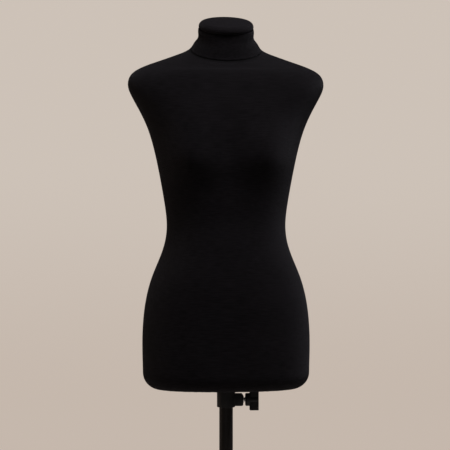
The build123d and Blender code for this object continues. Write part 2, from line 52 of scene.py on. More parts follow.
def surface(name, points, close_rows=False):
    """Mesh object of a grid of points (rows, columns, 3). Neighbouring points make four-sided
    faces. Each row runs round to its start, and with close_rows the last row meets the first."""
    rows, columns = points.shape[:2]
    index = np.arange(rows * columns).reshape(rows, columns)
    index = np.concatenate([index, index[:, :1]], axis=1)
    if close_rows:
        index = np.concatenate([index, index[:1]], axis=0)
    quads = np.stack([index[:-1, :-1], index[:-1, 1:], index[1:, 1:], index[1:, :-1]], axis=-1)
    mesh = bpy.data.meshes.new(name)
    mesh.from_pydata(points.reshape(-1, 3).tolist(), [], quads.reshape(-1, 4).tolist())
    made = bpy.data.objects.new(name, mesh)
    bpy.context.scene.collection.objects.link(made)
    return made


MEET = 1e-6  # metres within which points are one point


def merged(piece, sharp=35, outward=True):
    """Merge points that meet, turn the faces outwards, and shade smooth up to the sharp angle."""
    work = bmesh.new()
    work.from_mesh(piece.data)
    bmesh.ops.remove_doubles(work, verts=work.verts, dist=MEET)
    bmesh.ops.dissolve_degenerate(work, edges=work.edges, dist=MEET / 10)
    if outward:
        bmesh.ops.recalc_face_normals(work, faces=work.faces)
    work.to_mesh(piece.data)
    work.free()
    piece.data.shade_smooth()
    piece.data.set_sharp_from_angle(angle=math.radians(sharp))
    return piece


def turned(name, profile, sides=96):
    """Surface of revolution about Z: a closed outline of (radius, height) carried round."""
    outline = np.array(profile, float)
    turn = np.linspace(0, 2 * math.pi, sides, endpoint=False)[None, :]
    radius, height = outline[:, :1], outline[:, 1:]
    points = np.stack([radius * np.cos(turn), radius * np.sin(turn), height + 0 * turn], axis=-1)
    return merged(surface(name, points, close_rows=True))


def tube_profile(node, wall, edge=0.3 * mm):
    """Outline of a tube's wall with chamfered ends, its size read from the frame."""
    low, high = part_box(node)
    outer = (high.x - low.x) / 2
    inner = outer - wall
    return [
        (outer, low.z + edge), (outer, high.z - edge), (outer - edge, high.z),
        (inner + edge, high.z), (inner, high.z - edge), (inner, low.z + edge),
        (inner + edge, low.z), (outer - edge, low.z),
    ]


def node(tree, kind, settings=None, **inputs):
    """Add a shader node. Inputs are values or other nodes' outputs, by the socket's name with
    underscores for spaces, or by its number as n0, n1 and so on."""
    made = tree.nodes.new("ShaderNode" + kind)
    for key, value in (settings or {}).items():
        setattr(made, key, value)
    for key, value in inputs.items():
        numbered = key[0] == "n" and key[1:].isdigit()
        socket = made.inputs[int(key[1:]) if numbered else key.replace("_", " ")]
        if isinstance(value, bpy.types.NodeSocket):
            tree.links.new(value, socket)
        else:
            socket.default_value = value
    return made


def math_node(tree, operation, *values):
    """Result of a Math node on values or outputs."""
    inputs = {f"n{k}": value for k, value in enumerate(values)}
    return node(tree, "Math", {"operation": operation}, **inputs).outputs[0]


def new_material(name, **principled):
    """A material with its Principled shader's plain values set. Returns it, its tree and shader."""
    made = bpy.data.materials.new(name)
    made.use_nodes = True
    shader = made.node_tree.nodes["Principled BSDF"]
    for key, value in principled.items():
        shader.inputs[key.replace("_", " ")].default_value = value
    return made, made.node_tree, shader


def coordinates(tree, scale=(1, 1, 1)):
    """Object coordinates of the piece, stretched by a scale for each axis."""
    return stretched(tree, node(tree, "TexCoord").outputs["Object"], scale)


def stretched(tree, place, scale):
    """Coordinates multiplied by a scale for each axis."""
    return node(tree, "Mapping", Vector=place, Scale=scale).outputs[0]


def noise(tree, vector, scale, detail=4.0, roughness=0.55):
    """Fractal noise between 0 and 1 at the coordinates given."""
    made = node(tree, "TexNoise", Vector=vector, Scale=scale, Detail=detail, Roughness=roughness)
    return made.outputs["Fac"]


def ramp(tree, value, low, high, dark, light):
    """A number between two limits mapped on two colours."""
    made = node(tree, "ValToRGB", Fac=value)
    made.color_ramp.elements[0].position, made.color_ramp.elements[1].position = low, high
    made.color_ramp.elements[0].color, made.color_ramp.elements[1].color = (*dark, 1), (*light, 1)
    return made.outputs[0]


def remap(tree, value, low, high, out_low, out_high):
    """A number mapped from one range to another and kept within it."""
    return node(tree, "MapRange", n0=value, n1=low, n2=high, n3=out_low, n4=out_high).outputs[0]


def bump(tree, height, distance, strength=1.0, below=None):
    """Normal tilted by the slope of a height, laid over the normal below where one is given."""
    made = node(tree, "Bump", Height=height, Distance=distance, Strength=strength)
    if below is not None:
        tree.links.new(below, made.inputs["Normal"])
    return made.outputs[0]


def powder_coat():
    """Satin black powder coat: orange-peel surface, faint rub marks that run along the steel."""
    made, tree, shader = new_material(
        "powder_coat", Specular_IOR_Level=0.2, Coat_Weight=0.03, Coat_Roughness=0.3
    )
    place = coordinates(tree)
    peel = noise(tree, place, 900.0, 2.0)
    rubs = noise(tree, coordinates(tree, scale=(260, 260, 14)), 1.0, 5.0)
    cloud = noise(tree, place, 22.0, 3.0)
    colour = ramp(tree, cloud, 0.3, 0.7, (0.0060, 0.0048, 0.0042), (0.0100, 0.0080, 0.0070))
    tree.links.new(colour, shader.inputs["Base Color"])
    tree.links.new(remap(tree, rubs, 0.35, 0.7, 0.30, 0.44), shader.inputs["Roughness"])
    tree.links.new(bump(tree, peel, 0.05 * mm, 0.5), shader.inputs["Normal"])
    return made


black_coat = powder_coat()
TUBE_WALL = 1.2 * mm
for tube_node, body in (("column_tube", "column"), ("mast_tube", "mast")):
    tube = turned(tube_node + "_steel", tube_profile(tube_node, TUBE_WALL))
    tube.data.materials.append(black_coat)
    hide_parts(tube_node)
    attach(tube, body)

# ------------------------------------------------------------------ moulded stand parts
# Clamp, hub, collar, knobs and plugs are black glass-filled nylon, moulded, with a fine eroded
# grain. Their shapes are the frame's own, with the edges softly rounded.
SHARP = 30  # degrees between faces from which an edge stays sharp, and is rounded
FLAT = 0.6  # degrees between faces that are one flat face


def dressed(source, finish, body, edge=0.35 * mm):
    """A merged copy of a frame node with rounded edges, which stands for that node."""
    mesh = nodes[source].data.copy()
    piece = bpy.data.objects.new(source + "_finished", mesh)
    bpy.context.scene.collection.objects.link(piece)
    mesh.materials.clear()
    mesh.materials.append(finish)
    merged(piece, SHARP, outward=False)
    work = bmesh.new()
    work.from_mesh(mesh)
    flat = math.radians(FLAT)
    bmesh.ops.dissolve_limit(work, angle_limit=flat, verts=work.verts, edges=work.edges)
    work.to_mesh(mesh)
    work.free()
    mesh.shade_smooth()
    mesh.set_sharp_from_angle(angle=math.radians(SHARP))
    if edge:
        rounding = piece.modifiers.new("edges", "BEVEL")
        rounding.width = edge
        rounding.segments = 2
        rounding.limit_method = "ANGLE"
        rounding.angle_limit = math.radians(SHARP)
    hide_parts(source)
    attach(piece, body)
    return piece


def grained_nylon():
    """Black moulded nylon: fine eroded grain, faint flow clouds, and a few smoother scuffs."""
    made, tree, shader = new_material("grained_nylon", Specular_IOR_Level=0.22)
    place = coordinates(tree)
    grain = noise(tree, place, 2600.0, 2.0, 0.7)
    flow = noise(tree, place, 60.0, 4.0)
    scuff = noise(tree, coordinates(tree, scale=(300, 90, 500)), 1.0, 6.0)
    colour = ramp(tree, flow, 0.3, 0.75, (0.006, 0.006, 0.0065), (0.011, 0.011, 0.0115))
    tree.links.new(colour, shader.inputs["Base Color"])
    tree.links.new(remap(tree, scuff, 0.4, 0.7, 0.58, 0.40), shader.inputs["Roughness"])
    tree.links.new(bump(tree, grain, 0.06 * mm, 0.6), shader.inputs["Normal"])
    return made


nylon = grained_nylon()
for part, body in (
    ("clamp_body", "column"), ("lower_hub", "column"), ("tube_end_cap", "column"),
    ("leg_collar", "collar"), ("mast_top_plug", "mast"), ("mast_bush", "mast"),
    ("clamp_knob", "clamp_screw"), ("collar_knob", "collar_screw"),
):
    dressed(part, nylon, body)

# ------------------------------------------------------------------ clamp screws
# Bright zinc-plated M8 screws are moulded into the knobs and run in brass inserts. Each has a
# loose washer, and a brass shoe that presses on the tube inside. The thread is a real one.


def zinc_plate():
    """Bright zinc: pale grey metal with a faint cloudy passivation and fine scratches."""
    made, tree, shader = new_material("zinc_plate", Metallic=1.0)
    place = coordinates(tree)
    cloud = noise(tree, place, 120.0, 4.0)
    scratch = noise(tree, coordinates(tree, scale=(150, 1500, 1500)), 1.0, 3.0)
    colour = ramp(tree, cloud, 0.3, 0.7, (0.50, 0.50, 0.49), (0.68, 0.68, 0.66))
    tree.links.new(colour, shader.inputs["Base Color"])
    tree.links.new(remap(tree, scratch, 0.3, 0.7, 0.22, 0.40), shader.inputs["Roughness"])
    tree.links.new(bump(tree, scratch, 0.02 * mm, 0.4), shader.inputs["Normal"])
    return made


def turned_brass():
    """Brass with cloudy tarnish, duller where it is darker."""
    made, tree, shader = new_material("turned_brass", Metallic=1.0)
    cloud = noise(tree, coordinates(tree), 180.0, 4.0)
    colour = ramp(tree, cloud, 0.3, 0.7, (0.42, 0.28, 0.10), (0.66, 0.47, 0.20))
    tree.links.new(colour, shader.inputs["Base Color"])
    tree.links.new(remap(tree, cloud, 0.3, 0.7, 0.42, 0.26), shader.inputs["Roughness"])
    return made


PITCH = 1.25 * mm
THREAD_DEPTH = 0.65 * mm
THREAD_SIDES = 40
RINGS_PER_TURN = 10
POINT_LENGTH = 0.8 * mm  # the screw's end tapers over this length
POINT_DROP = 0.6 * mm


def threaded_rod(name, start, end, radius, height, azimuth):
    """Screw thread along a horizontal axis. The radius falls from the crest by the thread's depth
    in a clipped triangle wave of (distance / pitch - turn). Both ends close on the axis."""
    steps = int((end - start) / PITCH * RINGS_PER_TURN)
    along = np.linspace(start, end, steps)[:, None]
    turn = np.linspace(0, 2 * math.pi, THREAD_SIDES, endpoint=False)[None, :]
    phase = (along / PITCH - turn / (2 * math.pi)) % 1.0
    wave = np.clip(1.15 * np.abs(2 * phase - 1), 0, 1)
    taper = POINT_DROP * np.clip(1 - (end - along) / POINT_LENGTH, 0, 1)
    rod = radius - THREAD_DEPTH * (1 - wave) - taper
    rings = [np.stack([along + 0 * turn, rod * np.cos(turn), rod * np.sin(turn)], axis=-1)]
    for side, place in ((0, start), (2, end)):
        pole = np.stack([place + 0 * turn, 0 * turn, 0 * turn], axis=-1)
        rings.insert(side, pole)
    points = np.concatenate(rings)
    c, s = math.cos(azimuth), math.sin(azimuth)
    x, y, z = points[..., 0], points[..., 1], points[..., 2]
    placed = np.stack([x * c - y * s, x * s + y * c, z + height], axis=-1)
    return merged(surface(name, placed), sharp=40)


def centre_height(name):
    """Height of a frame node's middle."""
    low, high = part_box(name)
    return (low.z + high.z) / 2


zinc = zinc_plate()
brass = turned_brass()
BOLT_R = 4.0 * mm
BOLT_START = 17.2 * mm
BOLT_END = 44.3 * mm
LOCK_AZIMUTH = math.radians(30)
LOCK_SHIFT = 1.6 * mm  # the lower screw bears on the thicker tube
for prefix, carriage, screw, azimuth, shift in (
    ("clamp", "clamp_carriage", "clamp_screw", 0.0, 0.0),
    ("collar", "collar_carriage", "collar_screw", LOCK_AZIMUTH, LOCK_SHIFT),
):
    height = centre_height(prefix + "_bolt")
    start = BOLT_START + shift
    bolt = threaded_rod(prefix + "_bolt_thread", start, BOLT_END, BOLT_R, height, azimuth)
    bolt.data.materials.append(zinc)
    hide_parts(prefix + "_bolt")
    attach(bolt, screw)
    dressed(prefix + "_washer", zinc, carriage, edge=0.12 * mm)
    dressed(prefix + "_shoe", brass, carriage, edge=0.2 * mm)
for part, body in (("clamp_insert", "column"), ("collar_insert", "collar")):
    dressed(part, brass, body, edge=0.15 * mm)
dressed("clamp_pin", zinc, "column", edge=0.1 * mm)

# ------------------------------------------------------------------ tripod
# Three square steel legs in black powder coat with rubber boots, flat steel braces in pairs, and
# zinc-plated pins with flat heads.


def moulded_rubber():
    """Matt black rubber, dusty in its pores and paler where it has rubbed on the floor."""
    made, tree, shader = new_material("moulded_rubber", Specular_IOR_Level=0.3)
    place = coordinates(tree)
    pores = noise(tree, place, 700.0, 5.0, 0.7)
    dust = noise(tree, place, 90.0, 5.0)
    height = node(tree, "SeparateXYZ", Vector=place).outputs[2]
    low = remap(tree, height, 0.0, 6 * mm, 0.30, 0.0)
    mix = math_node(tree, "ADD", dust, low)
    colour = ramp(tree, mix, 0.4, 0.95, (0.009, 0.009, 0.009), (0.045, 0.042, 0.038))
    tree.links.new(colour, shader.inputs["Base Color"])
    tree.links.new(remap(tree, pores, 0.3, 0.7, 0.62, 0.85), shader.inputs["Roughness"])
    tree.links.new(bump(tree, pores, 0.1 * mm, 0.5), shader.inputs["Normal"])
    return made


rubber = moulded_rubber()
for side in ("back", "front_left", "front_right"):
    dressed("leg_" + side, black_coat, "leg_" + side, edge=0.2 * mm)
    dressed("foot_" + side, rubber, "leg_" + side, edge=0.8 * mm)
    dressed("brace_pin_" + side, zinc, "leg_" + side, edge=0.3 * mm)
    dressed("brace_" + side, black_coat, "brace_" + side, edge=0.25 * mm)
    dressed("slot_pin_" + side, zinc, "brace_" + side, edge=0.3 * mm)
dressed("leg_pins", zinc, "collar", edge=0.3 * mm)
dressed("hub_rivet", zinc, "column", edge=0.3 * mm)

# ------------------------------------------------------------------ base and socket
# A black-stained board closes the shell from below. A steel plate with a blind tube is screwed
# to it and carries the torso on the mast. The shell and the hem's elastic keep the frame's shape
# and only get their finishes, since the jersey hides them.


def stained_board():
    """Black-stained birch: long soft grain that still shows through the stain."""
    made, tree, shader = new_material("stained_board")
    grain = noise(tree, coordinates(tree, scale=(6, 90, 90)), 2.0, 8.0, 0.6)
    fibre = noise(tree, coordinates(tree, scale=(40, 1200, 1200)), 1.0, 3.0)
    colour = ramp(tree, grain, 0.3, 0.75, (0.010, 0.008, 0.007), (0.030, 0.024, 0.019))
    tree.links.new(colour, shader.inputs["Base Color"])
    tree.links.new(remap(tree, fibre, 0.3, 0.7, 0.55, 0.8), shader.inputs["Roughness"])
    tree.links.new(bump(tree, fibre, 0.15 * mm, 0.5), shader.inputs["Normal"])
    return made


def shell_plastic():
    """Moulded charcoal shell, slightly mottled."""
    made, tree, shader = new_material("shell_plastic", Roughness=0.6)
    cloud = noise(tree, coordinates(tree), 14.0, 5.0)
    colour = ramp(tree, cloud, 0.3, 0.7, (0.014, 0.013, 0.013), (0.024, 0.023, 0.022))
    tree.links.new(colour, shader.inputs["Base Color"])
    tree.links.new(bump(tree, cloud, 0.6 * mm, 0.4), shader.inputs["Normal"])
    return made


def covered_elastic():
    """Black braided elastic, ribbed across its width."""
    made, tree, shader = new_material("covered_elastic", Roughness=0.85)
    ribs = node(tree, "TexWave", Vector=coordinates(tree), Scale=400.0, Distortion=0.4)
    wave = ribs.outputs["Fac"]
    colour = ramp(tree, wave, 0.2, 0.8, (0.006, 0.006, 0.006), (0.02, 0.02, 0.02))
    tree.links.new(colour, shader.inputs["Base Color"])
    tree.links.new(bump(tree, wave, 0.2 * mm, 0.8), shader.inputs["Normal"])
    return made


dressed("base_board", stained_board(), "torso", edge=0.0)
dressed("socket_flange", black_coat, "torso", edge=0.3 * mm)
dressed("socket_tube", black_coat, "torso", edge=0.3 * mm)
dressed("flange_screws", zinc, "torso", edge=0.25 * mm)
for hidden, finish in (("torso_shell", shell_plastic()), ("hem_elastic", covered_elastic())):
    nodes[hidden].data.materials.clear()
    nodes[hidden].data.materials.append(finish)

# ------------------------------------------------------------------ jersey body cover
# A stretched tube of fine black single jersey, cut as a front and a back panel. It is joined to
# the neck's piece at the collar seam, and its hem is gathered with elastic under the base.

# Torso rows from the base up, in millimetres: height above the base, half width, reach to the
# front, reach to the back, squareness (2 is an ellipse), centre towards the back, forward lean.
TORSO = np.array([
    (0, 154.8, 97, 104, 2.30, 0, 0),
    (40, 155.6, 98, 111, 2.30, 0, 0),
    (80, 156.4, 98.5, 115, 2.30, 0, 0),
    (125, 154.9, 98.5, 116, 2.30, 0, 0),
    (170, 148.9, 97, 110, 2.30, 0, 0),
    (210, 137.8, 94, 99, 2.25, 0, 0),
    (247, 122.8, 89, 88, 2.20, 0, 0),
    (275, 114.0, 86, 82, 2.20, 0, 0),
    (303, 110.9, 84, 80, 2.20, 0, 0),
    (340, 114.2, 86, 82, 2.20, 0, 0),
    (378, 120.6, 90, 86, 2.25, 0, 0),
    (415, 127.7, 94, 91, 2.30, 0, 0),
    (452, 136.2, 94, 95, 2.30, 0, 0),
    (490, 148.4, 93, 96, 2.35, 0, 0),
    (527, 166.4, 90, 91, 2.50, 3, 0),
    (546, 176.6, 87, 87, 2.60, 5, 1),
    (565, 183.2, 83, 83, 2.60, 7, 2),
    (583, 179.3, 78, 77, 2.50, 8, 4),
    (597, 162.0, 73, 70, 2.35, 8, 8),
    (608, 131.5, 69, 65, 2.20, 8, 14),
    (618, 97.3, 65, 61, 2.10, 8, 20),
    (626, 75.5, 61, 58, 2.05, 8, 24),
    (633, 66.2, 57.5, 55, 2.00, 8, 27),
    (642, 60.8, 54, 53, 2.00, 6, 26),
    (652, 53.4, 51, 52, 2.00, 4, 24),
    (662, 50.8, 48.5, 51, 2.00, 2.5, 22),
    (671.5, 50.2, 47.2, 50.5, 2.00, 1, 20),
], float)
COLLAR_ROW = 22
# Half spacing, height, half width, height above and below the middle, how far it stands out,
# and 1 to the back or -1 to the front.
SWELLINGS = (
    (72, 430, 48, 62, 44, 25, -1),
    (66, 112, 52, 60, 60, 12, 1),
    (74, 500, 44, 55, 60, 7, 1),
    (0, 205, 80, 70, 80, 5, -1),
)
SWELL_FADE = 1.6  # how soon a swelling dies out towards the sides
EDGE_ROUND = 30.0
HEM_WIDTH = 25.0
COLUMNS = 224
AROUND = np.linspace(0, 2 * math.pi, COLUMNS, endpoint=False)[None, :] + math.pi / 2
# Distances from the collar seam of the close rows beside it, and where the wider rows begin.
SEAM_ROWS = np.array([0.0, 0.45, 0.9, 1.4, 1.9, 2.5, 3.2, 4, 5, 6])
SEAM_CLEAR = 7.0
base_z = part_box("body_cover")[0].z
travel = np.concatenate([[0], np.cumsum(np.hypot(np.diff(TORSO[:, 0]), np.diff(TORSO[:, 1])))])


def smooth(known, table, at):
    """Natural cubic spline through the rows of a table, read at the places given."""
    step = np.diff(known)[:, None]
    count = len(known)
    matrix, right = np.eye(count), np.zeros_like(table)
    inner = np.arange(1, count - 1)
    matrix[inner, inner - 1] = step[:-1, 0]
    matrix[inner, inner] = 2 * (step[:-1, 0] + step[1:, 0])
    matrix[inner, inner + 1] = step[1:, 0]
    slope = np.diff(table, axis=0) / step
    right[1:-1] = 6 * np.diff(slope, axis=0)
    bend = np.linalg.solve(matrix, right)
    i = np.clip(np.searchsorted(known, at) - 1, 0, count - 2)
    h, low, high = step[i], (known[i + 1] - at)[:, None], (at - known[i])[:, None]
    cubic = (bend[i] * low**3 + bend[i + 1] * high**3) / (6 * h)
    below, above = table[i] / h - bend[i] * h / 6, table[i + 1] / h - bend[i + 1] * h / 6
    return cubic + below * low + above * high


def torso_rows(at, inset, lift=0.0, gather=0.0):
    """Rows of points round the torso. Each row is a superellipse whose half width and reach are
    drawn in by inset, with soft swellings added where they face, leant forward about its own
    centre. lift raises a row, and gather is added outwards from the surface."""
    row = smooth(travel, TORSO, at)
    height, width, front, back, square, centre, lean = (row[:, k : k + 1] for k in range(7))
    inward = np.asarray(inset, float).reshape(-1, 1)
    c, s = np.cos(AROUND), np.sin(AROUND)
    x = (width - inward + gather) * np.sign(c) * np.abs(c) ** (2 / square)
    y = (np.where(s > 0, back, front) - inward + gather) * np.sign(s) * np.abs(s) ** (2 / square)
    for apart, middle, wide, above, below, out, side in SWELLINGS:
        tall = np.where(height > middle, above, below)
        swell = np.exp(-(((np.abs(x) - apart) / wide) ** 2) - ((height - middle) / tall) ** 2)
        y = y + side * out * swell * np.clip(side * s * SWELL_FADE, 0, 1)
    lean = np.radians(lean)
    z = height + np.asarray(lift, float).reshape(-1, 1) + y * np.sin(lean)
    return np.stack([x, centre + y * np.cos(lean), z + base_z / mm], axis=-1) * mm


ROUND_IT = 0.82  # metres of knit round every row


def cloth_map(piece, rows, columns, along):
    """UV map of the stretched knit, in metres: the same number of stitches in every row."""
    round_it = np.arange(columns + 1) / columns * ROUND_IT
    u, v = np.meshgrid(round_it, along)
    corner = np.stack([u, v], axis=-1)
    quads = np.stack([corner[:-1, :-1], corner[:-1, 1:], corner[1:, 1:], corner[1:, :-1]], axis=2)
    layer = piece.data.uv_layers.new(name="knit")
    layer.data.foreach_set("uv", quads.reshape(-1).astype(np.float32))


def away_from(tree, value, place):
    """Distance of a value from a place."""
    return math_node(tree, "ABSOLUTE", math_node(tree, "SUBTRACT", value, place))


def black_jersey(name, seams, seam_shade_at=None, wale=0.9 * mm, course=0.75 * mm):
    """Fine black single jersey. Each wale is a column of V-shaped loops: the distance from the
    wale's middle shifts the rows, and two legs rise beside the middle. Uneven courses, slight
    fading and a little lint lie over it. Its seams are grooves down the cloth at the shares of
    its width given, with puckers that fade away from them. Painted shade darkens the cloth's
    colour where it dips into the seam that runs across it, at the place given."""
    made, tree, shader = new_material(
        name,
        Specular_IOR_Level=0.05,
        Sheen_Weight=0.035,
        Sheen_Roughness=0.4,
        Sheen_Tint=(0.9, 0.9, 1, 1),
    )
    place = node(tree, "UVMap", {"uv_map": "knit"}).outputs[0]
    split = node(tree, "SeparateXYZ", Vector=place)
    across = math_node(tree, "FRACT", math_node(tree, "DIVIDE", split.outputs[0], wale))
    off = math_node(tree, "MULTIPLY", away_from(tree, across, 0.5), 2.0)
    leg = math_node(tree, "SINE", math_node(tree, "MULTIPLY", off, math.pi))
    row = math_node(tree, "DIVIDE", split.outputs[1], course)
    row = math_node(tree, "ADD", row, math_node(tree, "MULTIPLY", off, 0.6))
    loop = math_node(tree, "COSINE", math_node(tree, "MULTIPLY", row, 2 * math.pi))
    stitch = math_node(tree, "MULTIPLY", leg, math_node(tree, "MULTIPLY_ADD", loop, 0.4, 0.6))
    streak = noise(tree, stretched(tree, place, (60, 420, 1)), 1.0, 4.0, 0.6)
    cloud = noise(tree, stretched(tree, place, (9, 12, 1)), 1.0, 3.0)
    fuzz = noise(tree, place, 1500.0, 4.0, 0.7)
    tone = math_node(tree, "MULTIPLY_ADD", streak, 0.75, math_node(tree, "MULTIPLY", cloud, 0.25))
    tone = math_node(tree, "MULTIPLY_ADD", stitch, 0.12, tone)
    dark, light = (0.0040, 0.0034, 0.0042), (0.0094, 0.0082, 0.0098)
    # Painted shade: the colour darkens within 1.8 mm of the seam across the cloth, standing in for
    # the groove's shadow, and the ramp's dark end is made deeper for it.
    if seam_shade_at is not None:
        away = away_from(tree, split.outputs[1], seam_shade_at)
        tone = math_node(tree, "SUBTRACT", tone, remap(tree, away, 0.5 * mm, 1.8 * mm, 0.8, 0.0))
        dark = (0.0012, 0.0011, 0.0013)
    tree.links.new(ramp(tree, tone, 0.32, 0.80, dark, light), shader.inputs["Base Color"])
    tree.links.new(remap(tree, fuzz, 0.3, 0.7, 0.78, 0.95), shader.inputs["Roughness"])
    normal = bump(tree, stitch, 0.22 * mm, 0.8)
    normal = bump(tree, streak, 0.5 * mm, 0.55, normal)
    puckers = math_node(tree, "SINE", math_node(tree, "MULTIPLY", split.outputs[1], 1400.0))
    for share in seams:
        away = away_from(tree, split.outputs[0], share * ROUND_IT)
        groove = remap(tree, away, 0.0, 1.3 * mm, 0.0, 1.0)
        near = remap(tree, away, 0.6 * mm, 7 * mm, 0.14, 0.0)
        height = math_node(tree, "MULTIPLY_ADD", puckers, near, groove)
        normal = bump(tree, height, 0.8 * mm, 0.9, normal)
    tree.links.new(normal, shader.inputs["Normal"])
    return made


def at_height(height):
    """Place along the torso's rows of a height above the base."""
    dense = np.linspace(0, travel[-1], 4000)
    return np.interp(height, smooth(travel, TORSO[:, :1], dense)[:, 0], dense)


DIP_DEPTH, DIP_WIDE = 0.85, 1.1
LIFT_HEIGHT, LIFT_AT, LIFT_WIDE = 0.45, 3.2, 1.6


def seam_dip(distance):
    """How far the cloth is drawn in at a seam, falling off as a bell curve with distance. The seam
    allowances behind it lift the cloth a little further away, as a second bell curve."""
    lifted = LIFT_HEIGHT * np.exp(-(((distance - LIFT_AT) / LIFT_WIDE) ** 2))
    return DIP_DEPTH * np.exp(-((distance / DIP_WIDE) ** 2)) - lifted


def ripple(turn, folds, seed):
    """Uneven folds: a sum of sine waves at shares of the fold count, their phases drawn with the
    seed."""
    draw = np.random.default_rng(seed)
    wave = 0 * turn
    waves = ((0.5, folds), (0.3, folds * 0.62), (0.28, folds * 1.57), (0.25, folds * 0.23))
    for share, count in waves:
        wave = wave + share * np.sin(round(count) * turn + draw.uniform(0, 6.28))
    return wave


# The hem's folds, in millimetres: where they have faded out up the cloth, the run over which they
# fade, the run over which they grow from the base's underside, and their depth.
FOLD_TOP, FOLD_FALL, FOLD_GROWTH, FOLD_DEPTH = 26.0, 60.0, 40.0, 1.1
# The elastic's casing: distance in from the hem's edge, half width and depth. Then the hem's sag.
CASING_IN, CASING_WIDE, CASING_DEPTH, HEM_SAG = 5.0, 3.2, 0.9, 0.75


def body_cover_rows():
    """Rows from the hem's inner edge, out under the base, round the lower edge and up to the
    collar seam. Uneven folds fade out above the edge, and under the base the casing stands down
    as a bell curve. Returns points and the distance run along the cloth."""
    hem = np.linspace(HEM_WIDTH, 0, 16)[:-1]
    bend = np.linspace(0, math.pi / 2, 14)[:-1]
    top = travel[COLLAR_ROW]
    first = float(at_height(EDGE_ROUND))
    main = np.linspace(first, top - SEAM_CLEAR, 150)
    side = np.concatenate([main, top - SEAM_ROWS[::-1]])
    at = np.concatenate([0 * hem, at_height(EDGE_ROUND * (1 - np.cos(bend))), side])
    edge = EDGE_ROUND * (1 - np.sin(bend))
    inset = np.concatenate([EDGE_ROUND + hem, edge, seam_dip(top - side)])
    corner = EDGE_ROUND * math.pi / 2
    run = np.concatenate([-corner - hem, EDGE_ROUND * bend - corner, side - first])
    folds = ripple(AROUND, 64, 7) * 0.6 + ripple(AROUND, 37, 3) * 0.5
    fall = np.clip((FOLD_TOP - run) / FOLD_FALL, 0, 1)[:, None] ** 2
    patch = 0.6 + 0.4 * np.sin(2 * AROUND + 1.9)
    outward = np.clip(run + corner, 0, FOLD_GROWTH)[:, None] / FOLD_GROWTH
    points = torso_rows(at, inset, gather=FOLD_DEPTH * folds * fall * patch * outward)
    under = np.clip(-(run + EDGE_ROUND * 0.9) / HEM_WIDTH, 0, 1)[:, None]
    casing = np.exp(-(((run + corner + HEM_WIDTH - CASING_IN) / CASING_WIDE) ** 2))[:, None]
    sag = CASING_DEPTH * casing + HEM_SAG * under * (0.5 + 0.5 * folds)
    points[..., 2] -= sag * mm
    return points, run * mm


CLOTH = 0.8 * mm


def thick_jersey(name, points, run, cloth):
    """Mapped jersey of the cloth's thickness, which lies inside the points' surface."""
    piece = surface(name, points)
    cloth_map(piece, *points.shape[:2], run)
    piece.data.shade_smooth()
    piece.data.materials.append(cloth)
    thickness = piece.modifiers.new("thickness", "SOLIDIFY")
    thickness.thickness = CLOTH
    thickness.offset = -1.0
    return piece


body_points, body_run = body_cover_rows()
body_cloth = black_jersey("black_jersey_body", seams=(0.25, 0.75), seam_shade_at=float(body_run[-1]))
body_cover = thick_jersey("body_jersey", body_points, body_run, body_cloth)
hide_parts("body_cover")
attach(body_cover, "torso")

# ------------------------------------------------------------------ neck cover
# A short tube of the same jersey, sewn to the body at the collar seam and drawn up over the
# neck under the cap.


# How much fuller the neck is at its sides below the cap: by how much, how far below and how wide.
FULLER, FULLER_BELOW, FULLER_WIDE = 1.9, 4.5, 8.0
# The gathers drawn in under the cap: their depth and the run over which they grow.
NECK_GATHER, NECK_GROWTH = 0.3, 16.0
TUCK = 3.2  # millimetres turned in over the neck's top
TUCK_LIFT = 0.22


def neck_cover_rows():
    """Rows from the collar seam up the neck, then turned in over its top. The neck is a little
    fuller at its sides just below the cap, falling off as a bell curve of the height."""
    start, end = travel[COLLAR_ROW], travel[-1]
    main = np.linspace(start + SEAM_CLEAR, end, 34)
    side = np.concatenate([start + SEAM_ROWS, main])
    tuck = np.linspace(TUCK / 8, TUCK, 6)
    at = np.concatenate([side, 0 * tuck + end])
    inset = np.concatenate([seam_dip(side - start), tuck])
    near_top = np.clip((side - (end - NECK_GROWTH)) / NECK_GROWTH, 0, 1)
    near_top = np.concatenate([near_top, 0 * tuck + 1])[:, None]
    over = np.concatenate([0 * side, TUCK_LIFT + 0 * tuck])
    below_cap = np.exp(-(((end - at - FULLER_BELOW) / FULLER_WIDE) ** 2))[:, None]
    fuller = FULLER * below_cap * np.clip(1.4 * np.abs(np.cos(AROUND)), 0, 1)
    gather = fuller + NECK_GATHER * near_top * ripple(AROUND, 46, 11)
    points = torso_rows(at, inset, lift=over, gather=gather)
    run = np.concatenate([side - start, end - start + tuck])
    return points, run * mm


neck_points, neck_run = neck_cover_rows()
neck_cloth = black_jersey("black_jersey_neck", seams=(0.0, 1.0), seam_shade_at=0.0)
neck_cover = thick_jersey("neck_jersey", neck_points, neck_run, neck_cloth)
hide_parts("neck_cover")
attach(neck_cover, "torso")

# ------------------------------------------------------------------ neck cap
# A wooden cap with a rolled rim, covered with a disc of the same jersey. It plugs the neck and
# shows a dark step below its rim.
CAP_R = 51.4
CAP_UNDER = 4.5
CAP_OVER = 9.5
CAP_DOME = 3.0
CAP_SPIGOT = 14.0
CAP_SPIGOT_R = 41.7
CAP_EDGE = 0.5  # chamfer of the spigot's lower end


